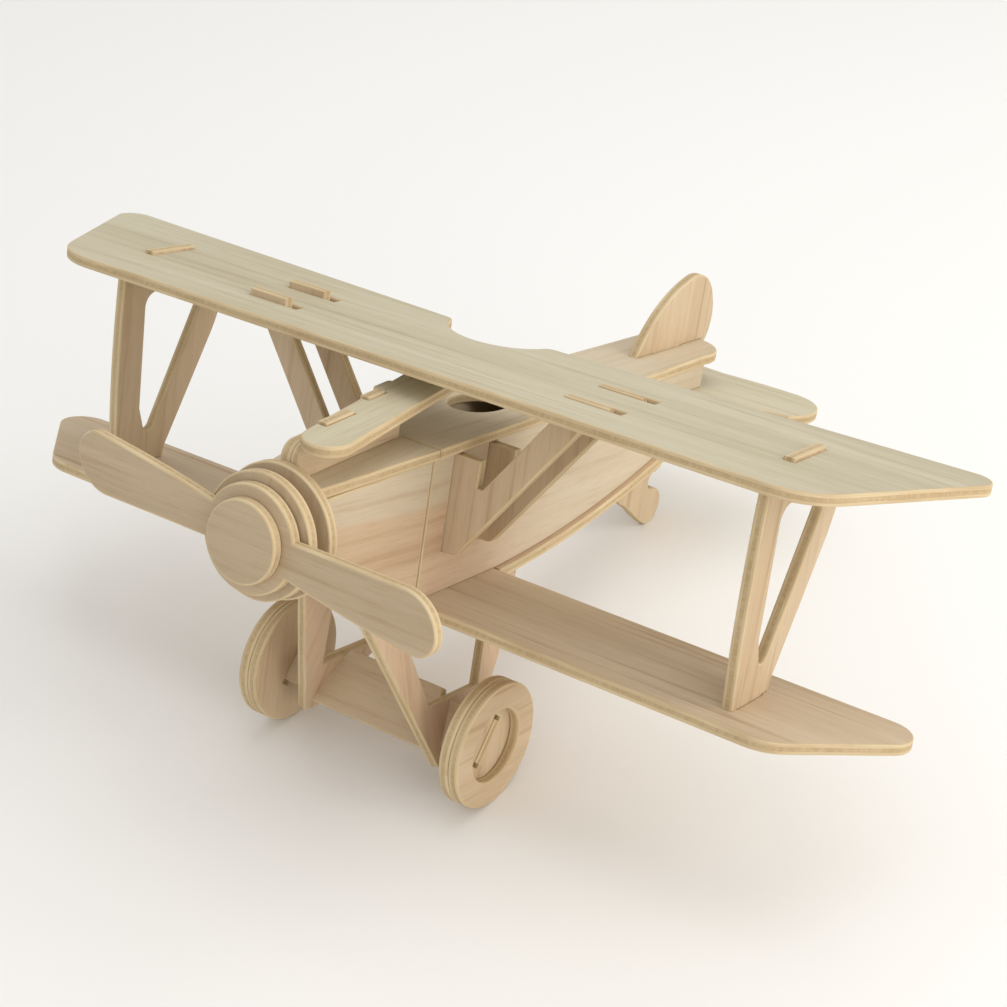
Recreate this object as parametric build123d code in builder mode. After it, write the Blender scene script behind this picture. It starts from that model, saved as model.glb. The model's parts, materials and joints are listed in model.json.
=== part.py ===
"""Slot-together plywood biplane model.

Every piece is cut from 3 mm three-ply sheet, apart from the dowel that the propeller turns on.
The model stands on its two wheels and its tail skid, nose up, so its own axes (x to port, y to the
tail, z up through the top wing) are tilted about the world's x axis. Sizes are millimetres.
"""
from build123d import *
from math import atan, cos, hypot, radians, sin, tan
import os

os.makedirs("parts", exist_ok=True)

# ------------------------------------------------------------------ driving dimensions
PLY = 3.0                   # sheet thickness, also every tab's and every slot's nominal width
FIT = 0.05                  # gap left on each side of a tab in its slot
GLUE_GAP = 0.04             # gap between faces that are glued together

NOSE_UP = 16.8              # standing attitude on wheels and skid, degrees
DATUM_FORWARD = 47.618      # how far the top wing's leading edge lies ahead of the model's middle

WHEEL_Y = 17.23             # wheel centre, in the model's own axes
WHEEL_Z = -97.92
WHEEL_RADIUS = 17.48

# ------------------------------------------------------------------ the model's own axes
TILT = radians(NOSE_UP)
DATUM_HEIGHT = WHEEL_RADIUS + WHEEL_Y * sin(TILT) - WHEEL_Z * cos(TILT)
BODY = Plane(
    origin=(0, -DATUM_FORWARD, DATUM_HEIGHT),
    x_dir=(1, 0, 0),
    z_dir=(0, sin(TILT), cos(TILT)),
)


def at(x, y, z):
    """A point given along the model's own axes."""
    return BODY.from_local_coords(Vector(x, y, z))


def heading(x, y, z):
    """A direction given along the model's own axes."""
    return BODY.x_dir * x + BODY.y_dir * y + BODY.z_dir * z


def level(z):
    """Plane seen from above: local x to port, local y to the tail."""
    return Plane(origin=at(0, 0, z), x_dir=BODY.x_dir, z_dir=BODY.z_dir)


def buttock(x):
    """Plane seen from the side: local x to the tail, local y up, facing port."""
    return Plane(origin=at(x, 0, 0), x_dir=BODY.y_dir, z_dir=BODY.x_dir)


def station(y):
    """Plane seen across the model: local x to port, local y up, facing the nose."""
    return Plane(origin=at(0, y, 0), x_dir=BODY.x_dir, z_dir=-BODY.y_dir)


def ramp(y, z, slope):
    """Level plane through (y, z) that climbs towards the tail by slope."""
    run = hypot(1, slope)
    return Plane(
        origin=at(0, y, z),
        x_dir=BODY.x_dir,
        z_dir=heading(0, -slope / run, 1 / run),
    )


def save(piece, name):
    """Label a finished piece and write it."""
    piece.part.label = name
    export_step(piece.part, f"parts/{name}.step")


def upright_edges(plate):
    """The edges of a level plate that run through its thickness."""
    return plate.edges().filter_by(lambda e: abs(e.tangent_at(0).dot(BODY.z_dir)) > 0.999)


HANDS = {"port": 1, "starboard": -1}

# ------------------------------------------------------------------ top wing
TOP_SPAN_AT_NOSE = 115.4    # half span at the leading edge, before its corner is rounded
TOP_RAKE = 0.485            # how much the tip widens per millimetre of chord
TOP_CHORD = 47.45           # on the centre line
TOP_TRAIL_SWEEP = 0.06
TOP_NOSE_CORNER = 17.0      # corner radii
TOP_TIP_CORNER = 5.5
CUTOUT_CORNER = 3.0
TOP_TIP_X = (TOP_SPAN_AT_NOSE + TOP_RAKE * TOP_CHORD) / (1 - TOP_RAKE * TOP_TRAIL_SWEEP)
TOP_TIP_Y = TOP_CHORD + TOP_TRAIL_SWEEP * TOP_TIP_X
CUTOUT_RADIUS = 15.5        # view cut-out over the cockpit
CUTOUT_CENTRE_Y = 51.2

CABANE_SLOT = (42.2, 58.3)  # from the centre line
CABANE_STATIONS = {"front": 13.87, "rear": 29.98}   # forward face of each frame
STRUT_X = 100.38
STRUT_TAB = (20.17, 37.19)

with BuildPart() as top_wing:
    with BuildSketch(level(-PLY)):
        with BuildLine():
            Polyline(
                (0, 0),
                (TOP_SPAN_AT_NOSE, 0),
                (TOP_TIP_X, TOP_TIP_Y),
                (0, TOP_CHORD),
                close=True,
            )
        make_face()
        mirror(about=Plane.YZ)
        with Locations((0, CUTOUT_CENTRE_Y)):
            Circle(CUTOUT_RADIUS, mode=Mode.SUBTRACT)
        for y in CABANE_STATIONS.values():
            for hand in HANDS.values():
                with Locations((hand * sum(CABANE_SLOT) / 2, y + PLY / 2)):
                    Rectangle(CABANE_SLOT[1] - CABANE_SLOT[0], PLY + 2 * FIT, mode=Mode.SUBTRACT)
        for hand in HANDS.values():
            with Locations((hand * STRUT_X, sum(STRUT_TAB) / 2)):
                Rectangle(PLY + 2 * FIT, STRUT_TAB[1] - STRUT_TAB[0] + 2 * FIT, mode=Mode.SUBTRACT)
    extrude(amount=PLY)
    tips = [e for e in upright_edges(top_wing) if abs(e.center().X) > TOP_TIP_X - 1]
    fillet(tips, radius=TOP_TIP_CORNER)
    fillet(
        [e for e in upright_edges(top_wing) if abs(abs(e.center().X) - TOP_SPAN_AT_NOSE) < 0.5],
        radius=TOP_NOSE_CORNER,
    )
    cutout_ends = [e for e in upright_edges(top_wing) if abs(e.center().X) < CUTOUT_RADIUS + 1]
    fillet(
        [e for e in cutout_ends if BODY.to_local_coords(e.center()).Y > TOP_CHORD - 3],
        radius=CUTOUT_CORNER,
    )
save(top_wing, "top_wing")

# ------------------------------------------------------------------ bottom wing
LOW_TOP = -61.73            # its upper face
LOW_NOSE_Y = 3.7
LOW_SPAN_AT_NOSE = 115.5
LOW_RAKE = 0.87
LOW_TIP_Y = 41.5
LOW_TRAIL_Y = 42.0          # on the centre line
LOW_TIP_X = LOW_SPAN_AT_NOSE + LOW_RAKE * (LOW_TIP_Y - LOW_NOSE_Y)
LOW_FOOT_TAB = (15.5, 28.5)
LOW_NOSE_CORNER = 12.0
LOW_TIP_CORNER = 7.6

with BuildPart() as bottom_wing:
    with BuildSketch(level(LOW_TOP - PLY)):
        with BuildLine():
            Polyline(
                (0, LOW_NOSE_Y),
                (LOW_SPAN_AT_NOSE, LOW_NOSE_Y),
                (LOW_TIP_X, LOW_TIP_Y),
                (0, LOW_TRAIL_Y),
                close=True,
            )
        make_face()
        mirror(about=Plane.YZ)
        for hand in HANDS.values():
            with Locations((hand * STRUT_X, sum(LOW_FOOT_TAB) / 2)):
                Rectangle(
                    PLY + 2 * FIT, LOW_FOOT_TAB[1] - LOW_FOOT_TAB[0] + 2 * FIT, mode=Mode.SUBTRACT
                )
    extrude(amount=PLY)
    tips = [e for e in upright_edges(bottom_wing) if abs(e.center().X) > LOW_TIP_X - 1]
    fillet(tips, radius=LOW_TIP_CORNER)
    fillet(
        [e for e in upright_edges(bottom_wing) if abs(abs(e.center().X) - LOW_SPAN_AT_NOSE) < 0.5],
        radius=LOW_NOSE_CORNER,
    )
save(bottom_wing, "bottom_wing")

# ------------------------------------------------------------------ V struts between the wings
STRUT_PROUD = 0.8           # how far the upper tab stands above the top wing

for name, hand in HANDS.items():
    with BuildPart() as strut:
        with BuildSketch(buttock(hand * STRUT_X - PLY / 2)):
            with BuildLine():
                front = ThreePointArc((10.1, -PLY - GLUE_GAP), (10.3, -34.0), (12.6, LOW_TOP + GLUE_GAP))
                foot = Line(front @ 1, (31.7, LOW_TOP + GLUE_GAP))
                heel = Line(foot @ 1, (32.2, -58.6))
                rear = Line(heel @ 1, (48.0, -26.5))
                top_rear = ThreePointArc(rear @ 1, (51.6, -16.0), (52.5, -PLY - GLUE_GAP))
                Line(top_rear @ 1, front @ 0)
            make_face()
            with Locations((sum(STRUT_TAB) / 2, (STRUT_PROUD - PLY) / 2)):
                Rectangle(STRUT_TAB[1] - STRUT_TAB[0], PLY + STRUT_PROUD + 0.2)
            with Locations((sum(LOW_FOOT_TAB) / 2, LOW_TOP - PLY / 2)):
                Rectangle(LOW_FOOT_TAB[1] - LOW_FOOT_TAB[0], PLY + 0.2)
            with BuildSketch(mode=Mode.PRIVATE) as window:
                with BuildLine():
                    Polyline((19.0, -10.8), (20.4, -45.0), (24.6, -56.4), (45.2, -10.8), close=True)
                make_face()
                fillet(window.vertices().group_by(Axis.Y)[-1], radius=4.2)
                fillet(window.vertices().group_by(Axis.Y)[0], radius=2.4)
            add(window.sketch, mode=Mode.SUBTRACT)
        extrude(amount=PLY)
    save(strut, f"interplane_strut_{name}")

# ------------------------------------------------------------------ fuselage box: shared lines
BEND_Y = 4.4                # where both sides are scored and bent in towards the nose
NOSE_Y = -36.45             # front end of the box, against the nose former
SIDE_END_Y = 150.0
SIDE_X = 13.7               # outer face at the bend
SIDE_X_NOSE = 10.2
SIDE_X_TAIL = 10.9
OVERHANG = 1.5              # deck and floor edges beyond the sides
DECK_BEND_Z = -20.0         # upper face of the deck at the bend
DECK_SLOPE = 0.0167         # climb towards the tail
DECK_NOSE_Z = -24.1
NOSE_DECK_SLOPE = (DECK_BEND_Z - DECK_NOSE_Z) / (BEND_Y - NOSE_Y)
SIDE_FOOT_Z = LOW_TOP + GLUE_GAP
CHIN_SLOPE = -0.381         # lower edge of the sides ahead of the bend
CHIN_NOSE_Z = SIDE_FOOT_Z - CHIN_SLOPE * (BEND_Y - NOSE_Y)
FLOOR_START_Y = 42.5        # behind the bottom wing
FLOOR_MID = (96.0, -54.7)   # the lower edge of the sides sweeps up to the tail in one arc
SIDE_END_Z = -38.8
TAIL_TOP_Z = -28.5          # upper face of the tailplane
TAIL_ROOT_Y = 131.0
FRAME_FOOT_Z = -50.2

AFT_TAPER = atan((SIDE_X - SIDE_X_TAIL) / (SIDE_END_Y - BEND_Y))
NOSE_TAPER = atan((SIDE_X - SIDE_X_NOSE) / (BEND_Y - NOSE_Y))
AFT_LENGTH = (SIDE_END_Y - BEND_Y) / cos(AFT_TAPER)
NOSE_LENGTH = (BEND_Y - NOSE_Y) / cos(NOSE_TAPER)


def side_plane(hand, turn):
    """Outer face of a side: local x runs aft from the bend, turn is how far it closes in."""
    return Plane(
        origin=at(hand * SIDE_X, BEND_Y, 0),
        x_dir=heading(hand * sin(turn), cos(turn), 0),
        z_dir=heading(cos(turn), -hand * sin(turn), 0),
    )


def deck_under(y):
    """Height of the main deck's lower face."""
    return DECK_BEND_Z + DECK_SLOPE * (y - BEND_Y) - PLY - GLUE_GAP


# ------------------------------------------------------------------ fuselage sides
SCORE_WIDTH = 0.5
SCORE_DEPTH = 0.7

for name, hand in HANDS.items():
    with BuildPart() as side:
        # aft panel, from the bend to the tail
        with BuildSketch(side_plane(hand, -AFT_TAPER)):
            with BuildLine():
                foot = Line((0, SIDE_FOOT_Z), (FLOOR_START_Y - BEND_Y, SIDE_FOOT_Z))
                sweep_up = ThreePointArc(
                    foot @ 1,
                    (FLOOR_MID[0] - BEND_Y, FLOOR_MID[1]),
                    (AFT_LENGTH, SIDE_END_Z),
                )
                stern = Line(sweep_up @ 1, (AFT_LENGTH, deck_under(SIDE_END_Y)))
                top = Line(stern @ 1, (0, deck_under(BEND_Y)))
                Line(top @ 1, foot @ 0)
            make_face()
            for y in CABANE_STATIONS.values():
                with Locations((y + PLY / 2 - BEND_Y, FRAME_FOOT_Z - FIT)):
                    Rectangle(
                        PLY + 6 * FIT, 40, align=(Align.CENTER, Align.MIN), mode=Mode.SUBTRACT
                    )
            with Locations((TAIL_ROOT_Y - BEND_Y - FIT, TAIL_TOP_Z - PLY / 2)):
                Rectangle(40, PLY + 2 * FIT, align=(Align.MIN, Align.CENTER), mode=Mode.SUBTRACT)
        extrude(amount=-hand * PLY)
        # nose panel, closing in ahead of the bend
        with BuildSketch(side_plane(hand, NOSE_TAPER)):
            with BuildLine():
                Polyline(
                    (0, SIDE_FOOT_Z),
                    (0, deck_under(BEND_Y)),
                    (-NOSE_LENGTH, DECK_NOSE_Z - PLY - GLUE_GAP),
                    (-NOSE_LENGTH, CHIN_NOSE_Z),
                    close=True,
                )
            make_face()
        extrude(amount=-hand * PLY)
        # score line along the bend
        with BuildSketch(level(-70)):
            with Locations((hand * SIDE_X, BEND_Y)):
                Rectangle(2 * SCORE_DEPTH, SCORE_WIDTH)
        extrude(amount=60, mode=Mode.SUBTRACT)
    save(side, f"fuselage_side_{name}")

# ------------------------------------------------------------------ cabane frames
FRAME_SHIFT = -1.65         # the frames sit to starboard in their long slots
ARM_LEAN = 0.713            # outward per millimetre of height
ARM_INNER = (44.0, -PLY)    # a point on the arm's upper edge
ARM_OUTER = (52.9, -PLY)    # and on its lower edge
CROTCH_Z = -30.4            # bottom of the notch between arm and upstand
UPSTAND_OUTER = 22.75
UPSTAND_TOP = -23.3
ARM_TAB = (44.0, 56.5)      # the tab through the wing is wider than the arm
ARM_HEAD_Z = -5.6           # where the arm begins to widen below the wing
ARM_PROUD = {"port": 0.3, "starboard": 1.9}
CROSSBAR_TOP = -38.0        # inside the fuselage
LUG_INNER = 8.0


def arm_x(point, z):
    """Along an arm's edge through point, at height z."""
    return point[0] + ARM_LEAN * (z - point[1])


for place, front_y in CABANE_STATIONS.items():
    with BuildPart() as frame:
        with BuildSketch(station(front_y + PLY)) as outline:
            for name, hand in HANDS.items():
                end_z = ARM_PROUD[name]
                tab_inner, tab_outer = ARM_TAB
                with BuildLine():
                    Polyline(
                        (0, FRAME_FOOT_Z),
                        (hand * arm_x(ARM_OUTER, FRAME_FOOT_Z), FRAME_FOOT_Z),
                        (hand * arm_x(ARM_OUTER, ARM_HEAD_Z), ARM_HEAD_Z),
                        (hand * tab_outer, -PLY - GLUE_GAP),
                        (hand * tab_outer, end_z),
                        (hand * tab_inner, end_z),
                        (hand * tab_inner, -PLY - GLUE_GAP),
                        (hand * arm_x(ARM_INNER, CROTCH_Z), CROTCH_Z),
                        (hand * UPSTAND_OUTER, CROTCH_Z),
                        (hand * UPSTAND_OUTER, UPSTAND_TOP),
                        (hand * LUG_INNER, UPSTAND_TOP),
                        (hand * LUG_INNER, CROSSBAR_TOP),
                        (0, CROSSBAR_TOP),
                        close=True,
                    )
                make_face()
            corners = outline.vertices().group_by(Axis.Y)[0]
            fillet([v for v in corners if abs(v.X) > 5], radius=3)
        extrude(amount=PLY)
    frame.part = frame.part.moved(Location(BODY.x_dir * FRAME_SHIFT))
    save(frame, f"cabane_frame_{place}")

# ------------------------------------------------------------------ decks
BEND_HALF = SIDE_X + OVERHANG
NOSE_HALF = SIDE_X_NOSE + OVERHANG
DECK_NOSE_HALF = 9.4        # the deck narrows until the sides' top edges show beside it
TAIL_HALF = SIDE_X_TAIL + OVERHANG
DECK_ROUND_Y = 148.0        # where the tail end begins to round off
DECK_END_Y = 163.0
COCKPIT_X = -2.0            # middle of the oval opening, a little to starboard
COCKPIT_Y = 45.5
COCKPIT_LENGTH = 21.0
COCKPIT_WIDTH = 14.6
FIN_TAB = (133.0, 150.0)

with BuildPart() as main_deck:
    with BuildSketch(ramp(BEND_Y, DECK_BEND_Z, DECK_SLOPE).offset(-PLY)):
        with BuildLine():
            front = Line((-BEND_HALF, GLUE_GAP), (BEND_HALF, GLUE_GAP))
            port_edge = Line(front @ 1, (TAIL_HALF, DECK_ROUND_Y - BEND_Y))
            tail_end = ThreePointArc(
                port_edge @ 1, (0, DECK_END_Y - BEND_Y), (-TAIL_HALF, DECK_ROUND_Y - BEND_Y)
            )
            Line(tail_end @ 1, front @ 0)
        make_face()
        with Locations((COCKPIT_X, COCKPIT_Y - BEND_Y)):
            Ellipse(COCKPIT_WIDTH / 2, COCKPIT_LENGTH / 2, mode=Mode.SUBTRACT)
        with Locations((0, sum(FIN_TAB) / 2 - BEND_Y)):
            Rectangle(PLY + 2 * FIT, FIN_TAB[1] - FIN_TAB[0] + 2 * FIT, mode=Mode.SUBTRACT)
    extrude(amount=PLY)
save(main_deck, "main_deck")

with BuildPart() as nose_deck:
    with BuildSketch(ramp(BEND_Y, DECK_BEND_Z, NOSE_DECK_SLOPE).offset(-PLY)):
        reach = hypot(BEND_Y - NOSE_Y, DECK_BEND_Z - DECK_NOSE_Z)
        with BuildLine():
            Polyline(
                (-BEND_HALF, -0.4),
                (BEND_HALF, -0.4),
                (DECK_NOSE_HALF, -reach),
                (-DECK_NOSE_HALF, -reach),
                close=True,
            )
        make_face()
    extrude(amount=PLY)
save(nose_deck, "nose_deck")

# ------------------------------------------------------------------ bottom pieces
FLOOR_END_Y = 157.0
FLOOR_TURN = radians(24.0)  # slope of the sweep where the floor ends, used to carry it on

with BuildPart() as chin_plate:
    chin_run = hypot(1, CHIN_SLOPE)
    with BuildSketch(ramp(BEND_Y, SIDE_FOOT_Z - GLUE_GAP, CHIN_SLOPE).offset(-PLY)):
        with BuildLine():
            Polyline(
                (-BEND_HALF, (LOW_NOSE_Y - BEND_Y) * chin_run - 1.3),
                (BEND_HALF, (LOW_NOSE_Y - BEND_Y) * chin_run - 1.3),
                (NOSE_HALF, (NOSE_Y - BEND_Y) * chin_run + 1.2),
                (-NOSE_HALF, (NOSE_Y - BEND_Y) * chin_run + 1.2),
                close=True,
            )
        make_face()
    extrude(amount=PLY)

save(chin_plate, "chin_plate")

with BuildPart() as floor_plate:
    with BuildSketch(buttock(-20)):
        with BuildLine():
            upper = ThreePointArc(
                (FLOOR_START_Y, SIDE_FOOT_Z - GLUE_GAP),
                (FLOOR_MID[0], FLOOR_MID[1] - GLUE_GAP),
                (SIDE_END_Y, SIDE_END_Z - GLUE_GAP),
            )
            Line(
                upper @ 1,
                (FLOOR_END_Y, SIDE_END_Z - GLUE_GAP + (FLOOR_END_Y - SIDE_END_Y) * tan(FLOOR_TURN)),
            )
            offset(amount=-PLY, side=Side.RIGHT)
        make_face()
    extrude(amount=40)
    with BuildSketch(level(-80)):
        with BuildLine():
            Polyline(
                (-BEND_HALF + 0.7, FLOOR_START_Y),
                (BEND_HALF - 0.7, FLOOR_START_Y),
                (TAIL_HALF, FLOOR_END_Y + 2),
                (-TAIL_HALF, FLOOR_END_Y + 2),
                close=True,
            )
        make_face()
    extrude(amount=60, mode=Mode.INTERSECT)
save(floor_plate, "floor_plate")

# ------------------------------------------------------------------ nose discs, propeller and shaft
THRUST_Z = -36.86           # height of the propeller's axis
SHAFT_RADIUS = 2.0
SHAFT_PLAY = 0.08           # the dowel turns in the fixed discs
RUNNING_GAP = 0.35          # between the propeller and the disc behind it
FORMER_RADIUS = 17.0
SPACER_RADIUS = 12.5
BACKING_RADIUS = 15.95
HUB_RADIUS = 13.65
CAP_RADIUS = 10.45
SHAFT_BACK_Y = NOSE_Y + 6.0
CAP_SEAT = 1.4              # the dowel ends inside the cap

disc_back = NOSE_Y - GLUE_GAP
FIXED_DISCS = {
    "nose_former": FORMER_RADIUS,
    "spacer_disc": SPACER_RADIUS,
    "backing_disc": BACKING_RADIUS,
}
for name, radius in FIXED_DISCS.items():
    with BuildPart() as disc:
        with BuildSketch(station(disc_back)):
            with Locations((0, THRUST_Z)):
                Circle(radius)
                Circle(SHAFT_RADIUS + SHAFT_PLAY, mode=Mode.SUBTRACT)
        extrude(amount=PLY)
    save(disc, name)
    disc_back -= PLY + GLUE_GAP

propeller_back = disc_back - RUNNING_GAP
with BuildPart() as propeller:
    with BuildSketch(station(propeller_back)):
        with BuildSketch(mode=Mode.PRIVATE) as blade:
            with BuildLine():
                lead = Line((8.0, 3.3), (44.5, 3.3))
                crown = ThreePointArc(lead @ 1, (52.6, 0.3), (55.6, -5.4))
                corner = ThreePointArc(crown @ 1, (54.3, -10.1), (49.5, -11.9))
                trail = ThreePointArc(corner @ 1, (32.0, -9.7), (8.0, -5.4))
                Line(trail @ 1, lead @ 0)
            make_face()
        with Locations((0, THRUST_Z)):
            Circle(HUB_RADIUS)
            add(blade.sketch)
            add(blade.sketch, rotation=180)
            Circle(SHAFT_RADIUS, mode=Mode.SUBTRACT)
    extrude(amount=PLY)
save(propeller, "propeller")

cap_back = propeller_back - PLY - GLUE_GAP
with BuildPart() as spinner_cap:
    with BuildSketch(station(cap_back)):
        with Locations((0, THRUST_Z)):
            Circle(CAP_RADIUS)
    extrude(amount=PLY)
    with BuildSketch(station(cap_back)):
        with Locations((0, THRUST_Z)):
            Circle(SHAFT_RADIUS)
    extrude(amount=CAP_SEAT, mode=Mode.SUBTRACT)
save(spinner_cap, "spinner_cap")

with BuildPart() as propeller_shaft:
    with BuildSketch(station(SHAFT_BACK_Y)):
        with Locations((0, THRUST_Z)):
            Circle(SHAFT_RADIUS)
    extrude(amount=SHAFT_BACK_Y - cap_back + CAP_SEAT)
    chamfer(propeller_shaft.edges().filter_by(GeomType.CIRCLE).sort_by(Axis.Y)[-1], length=0.4)
save(propeller_shaft, "propeller_shaft")

# ------------------------------------------------------------------ engine plates on the nose deck
COWL_Y = -27.6              # a point on the cowl plate's upper face
COWL_Z = -11.6
COWL_SLOPE = 0.11
COWL_SKEW = 7.2             # the plate sits turned in plan, degrees
COWL_WIDTH = 13.0
COWL_AXIS_X = 7.35          # its own axis, at COWL_NOSE_S
COWL_NOSE_S = -4.6          # centre of its rounded front end, measured from COWL_Y
COWL_LENGTH = 53.0          # from that centre to the rear end
COWL_EAR = (-5.1, -1.6, 27.5, 35.0)  # outer x, inner x, start and end of the ear behind the tab
COWL_EAR_CORNER = 1.5
ENGINE_TABS = {"port": (-27.6, -17.0), "starboard": (-7.4, -0.9)}
ENGINE_BACK_Y = 3.0
ENGINE_CORNER = 4.0
TAB_PROUD = 0.5

cowl_plane = ramp(COWL_Y, COWL_Z, COWL_SLOPE)


def cowl_under(y):
    """Height of the cowl plate's lower face."""
    return COWL_Z + COWL_SLOPE * (y - COWL_Y) - PLY * hypot(1, COWL_SLOPE) - GLUE_GAP


def nose_deck_top(y):
    """Height of the nose deck's upper face."""
    return DECK_BEND_Z + NOSE_DECK_SLOPE * (y - BEND_Y) + GLUE_GAP


for name, hand in HANDS.items():
    tab_front, tab_back = ENGINE_TABS[name]
    with BuildPart() as engine_plate:
        with BuildSketch(buttock(hand * (PLY + FIT) / 2 - PLY / 2)):
            front_y = NOSE_Y + GLUE_GAP
            with BuildLine():
                Polyline(
                    (front_y, nose_deck_top(front_y)),
                    (front_y, cowl_under(front_y)),
                    (ENGINE_BACK_Y, cowl_under(ENGINE_BACK_Y)),
                    (ENGINE_BACK_Y, nose_deck_top(ENGINE_BACK_Y)),
                    close=True,
                )
            body = make_face()
            fillet(body.vertices().sort_by(Axis.X)[:2].sort_by(Axis.Y)[-1], radius=ENGINE_CORNER)
            with BuildLine():
                Polyline(
                    (tab_front, cowl_under(tab_front) - 1),
                    (tab_front, cowl_under(tab_front) + PLY + TAB_PROUD),
                    (tab_back, cowl_under(tab_back) + PLY + TAB_PROUD),
                    (tab_back, cowl_under(tab_back) - 1),
                    close=True,
                )
            make_face()
        extrude(amount=PLY)
    save(engine_plate, f"engine_plate_{name}")

with BuildPart() as cowl_plate:
    with BuildSketch(cowl_plane.offset(-PLY)):
        with Locations(Location((COWL_AXIS_X, COWL_NOSE_S), COWL_SKEW)):
            Circle(COWL_WIDTH / 2)
            Rectangle(COWL_WIDTH, COWL_LENGTH, align=(Align.CENTER, Align.MIN))
        ear_outer, ear_inner, ear_start, ear_end = COWL_EAR
        with Locations(((ear_outer + ear_inner) / 2, (ear_start + ear_end) / 2)):
            RectangleRounded(ear_inner - ear_outer, ear_end - ear_start, COWL_EAR_CORNER)
        for name, hand in HANDS.items():
            tab_front, tab_back = ENGINE_TABS[name]
            along = hypot(1, COWL_SLOPE)
            with Locations((hand * (PLY + FIT) / 2, ((tab_front + tab_back) / 2 - COWL_Y) * along)):
                Rectangle(
                    PLY + 2 * FIT, (tab_back - tab_front) * along + 0.7, mode=Mode.SUBTRACT
                )
    extrude(amount=PLY)
save(cowl_plate, "cowl_plate")

# ------------------------------------------------------------------ tail
TAIL_SLIDE = 7.0            # the tailplane has been pushed to port through its slots

tail_plane = Plane(
    origin=at(TAIL_SLIDE, 0, TAIL_TOP_Z - PLY),
    x_dir=BODY.x_dir,
    z_dir=BODY.z_dir,
)
with BuildPart() as tailplane:
    with BuildSketch(tail_plane):
        with BuildLine():
            root = Line((0, TAIL_ROOT_Y), (18.5, TAIL_ROOT_Y))
            lead = Spline([root @ 1, (22.5, 136.5), (27.5, 146.6)], tangents=[(1, 0.3), (1, 0.9)])
            horn = ThreePointArc(lead @ 1, (31.4, 147.9), (35.2, 148.6))
            tip = ThreePointArc(horn @ 1, (38.4, 156.5), (37.2, 164.6))
            corner = ThreePointArc(tip @ 1, (33.0, 170.4), (24.0, 173.6))
            trail = ThreePointArc(corner @ 1, (12.0, 173.6), (0, 172.6))
            Line(trail @ 1, root @ 0)
        make_face()
        mirror(about=Plane.YZ)
    extrude(amount=PLY)
save(tailplane, "tailplane")

FIN_FRONT_Y = 123.6
FIN_FOOT_Y = 163.4          # the fin steps down behind the deck's end
FIN_BACK_Y = 165.2


def deck_top(y):
    """Height of the main deck's upper face."""
    return DECK_BEND_Z + DECK_SLOPE * (y - BEND_Y) + GLUE_GAP


with BuildPart() as fin:
    with BuildSketch(buttock(-PLY / 2)):
        with BuildLine():
            lead = ThreePointArc((FIN_FRONT_Y, deck_top(FIN_FRONT_Y)), (136.3, -3.6), (150.2, 3.2))
            crown = ThreePointArc(lead @ 1, (160.6, 2.7), (166.6, -4.0))
            trail = ThreePointArc(crown @ 1, (168.4, -10.5), (FIN_BACK_Y, -19.4))
            Polyline(
                trail @ 1,
                (FIN_FOOT_Y, -19.4),
                (FIN_FOOT_Y, deck_top(FIN_FOOT_Y)),
                lead @ 0,
            )
        make_face()
        with Locations((sum(FIN_TAB) / 2, TAIL_TOP_Z + GLUE_GAP)):
            Rectangle(FIN_TAB[1] - FIN_TAB[0], 11.5, align=(Align.CENTER, Align.MIN))
    extrude(amount=PLY)
save(fin, "fin")

with BuildPart() as tail_skid:
    with BuildSketch(buttock(-PLY / 2)):
        with BuildLine():
            front = Line((112.0, -50.5), (128.9, -65.6))
            shin = Spline([front @ 1, (136.0, -69.3), (141.6, -73.0), (147.6, -76.3)])
            toe = ThreePointArc(shin @ 1, (152.0, -75.15), (154.8, -68.2))
            heel = ThreePointArc(toe @ 1, (152.3, -65.4), (148.0, -64.2))
            hollow = ThreePointArc(heel @ 1, (145.2, -61.2), (148.4, -58.9))
            rear = ThreePointArc(hollow @ 1, (153.4, -56.0), (156.0, -48.0))
            Polyline(rear @ 1, (156.0, -33.0), (112.0, -46.0), front @ 0)
        make_face()
    extrude(amount=PLY)
    add(floor_plate.part, mode=Mode.SUBTRACT)

# the skid is kept below the floor plate, which it meets edge on
tail_skid.part = tail_skid.part.solids().sort_by(Axis.Z)[0]
tail_skid.part.label = "tail_skid"
export_step(tail_skid.part, "parts/tail_skid.step")

# ------------------------------------------------------------------ wheels, axle plate and gear legs
RING_HOLE_RADIUS = 10.3
RING_OUTER_X = 36.64        # outer face of the wheel
AXLE_LEAN = 31.5            # the axle plate leans back from upright, degrees
AXLE_HALF_HEIGHT = 8.45
AXLE_TAB_HEIGHT = 12.4
AXLE_TAB_X = RING_OUTER_X - PLY + 0.2
GEAR_SPLAY = 0.299          # outward per millimetre of drop
GEAR_REF = (12.9, -70.0)    # a point on the leg's outer face
SPLAY = atan(GEAR_SPLAY)


def leg_face_x(z, inner=False):
    """Where a leg's outer or inner face lies at height z."""
    x = GEAR_REF[0] + GEAR_SPLAY * (GEAR_REF[1] - z)
    return x - (PLY / cos(SPLAY) if inner else 0)


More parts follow.
